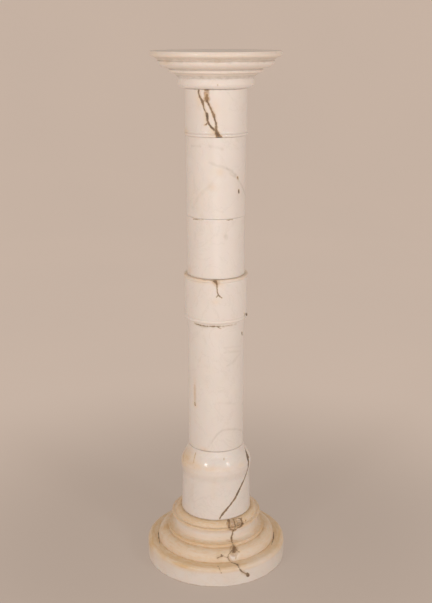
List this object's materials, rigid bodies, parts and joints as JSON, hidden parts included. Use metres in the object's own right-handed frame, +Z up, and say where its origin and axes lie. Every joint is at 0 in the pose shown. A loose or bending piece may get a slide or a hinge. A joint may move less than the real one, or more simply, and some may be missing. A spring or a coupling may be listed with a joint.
{
  "type": "marble pedestal column",
  "caption": "Turned marble pedestal column in the Doric manner: moulded round base, plain banded shaft and a moulded round capital with a flat top for a bust, vase or lamp.",
  "frame": {"origin": "middle of the base's underside, on the floor", "axes": "+Z up along the column's axis; the column is turned, and -Y faces the side that shows the dark vein on the neck drum"},
  "size_m": [0.2978, 0.2978, 1.07],
  "materials": {
    "white_marble": "polished white marble with a warm pink tinge, a few brown veins and small ochre stains",
    "honey_marble": "polished marble stained honey yellow and ochre, strongest in the grooves, with a reddish brown vein"
  },
  "bodies": {
    "root": {"base": "honey_marble", "foot_drum": "white_marble", "lower_shaft": "white_marble", "collar_drum": "white_marble", "middle_shaft": "white_marble", "upper_shaft": "white_marble", "neck_drum": "white_marble", "capital": "white_marble"}
  },
  "joints": []
}
